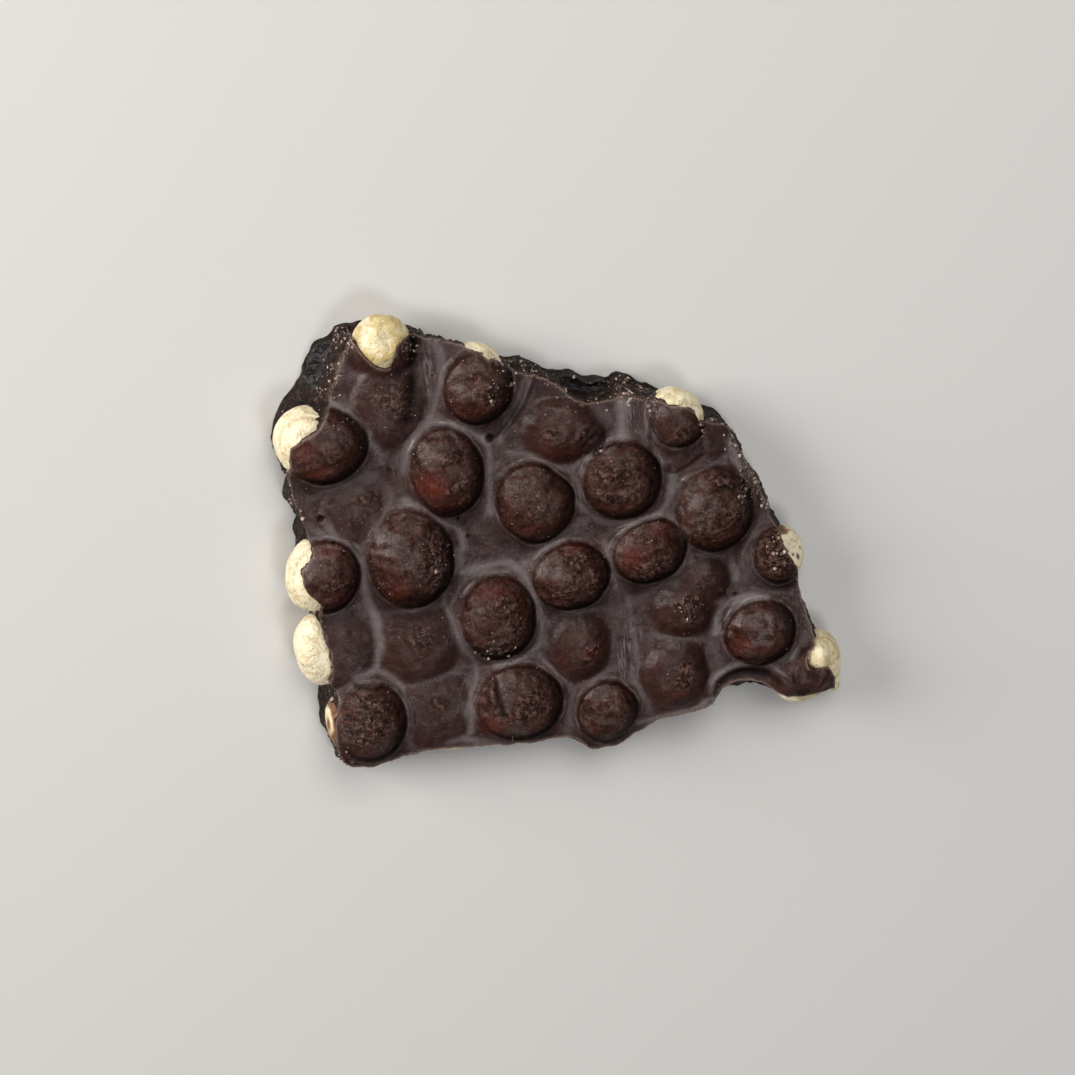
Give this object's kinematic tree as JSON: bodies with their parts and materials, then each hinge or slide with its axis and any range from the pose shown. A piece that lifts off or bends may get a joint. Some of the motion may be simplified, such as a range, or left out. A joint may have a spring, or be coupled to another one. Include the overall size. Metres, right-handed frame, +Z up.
{
  "type": "hazelnut chocolate slab",
  "caption": "Broken slab of dark chocolate with whole hazelnuts: a bumpy poured face, craggy broken edges with bare kernels standing in them, and a flat underside to rest on.",
  "frame": {"origin": "on the flat underside, near the middle of the slab", "axes": "+Z up out of the bumpy face, +X along the longest side of the slab, +Y across it, towards its slanting edge"},
  "size_m": [0.1103, 0.0947, 0.0152],
  "materials": {
    "chocolate": "satin dark chocolate, duller over the nuts",
    "kernel": "blanched hazelnut kernel",
    "skin": "brown hazelnut skin"
  },
  "bodies": {
    "root": {"chocolate": "chocolate", "hazelnut_top_left": "kernel", "hazelnut_top_middle": "kernel", "hazelnut_top_right": "kernel", "hazelnut_left_upper": "kernel", "hazelnut_left_middle": "kernel", "hazelnut_left_lower": "kernel", "hazelnut_left_corner": "skin", "hazelnut_right_upper": "kernel", "hazelnut_right_lower": "kernel", "hazelnut_bottom_right": "kernel", "hazelnut_bottom_whole": "kernel", "hazelnut_bottom_cut": "kernel"}
  },
  "joints": []
}
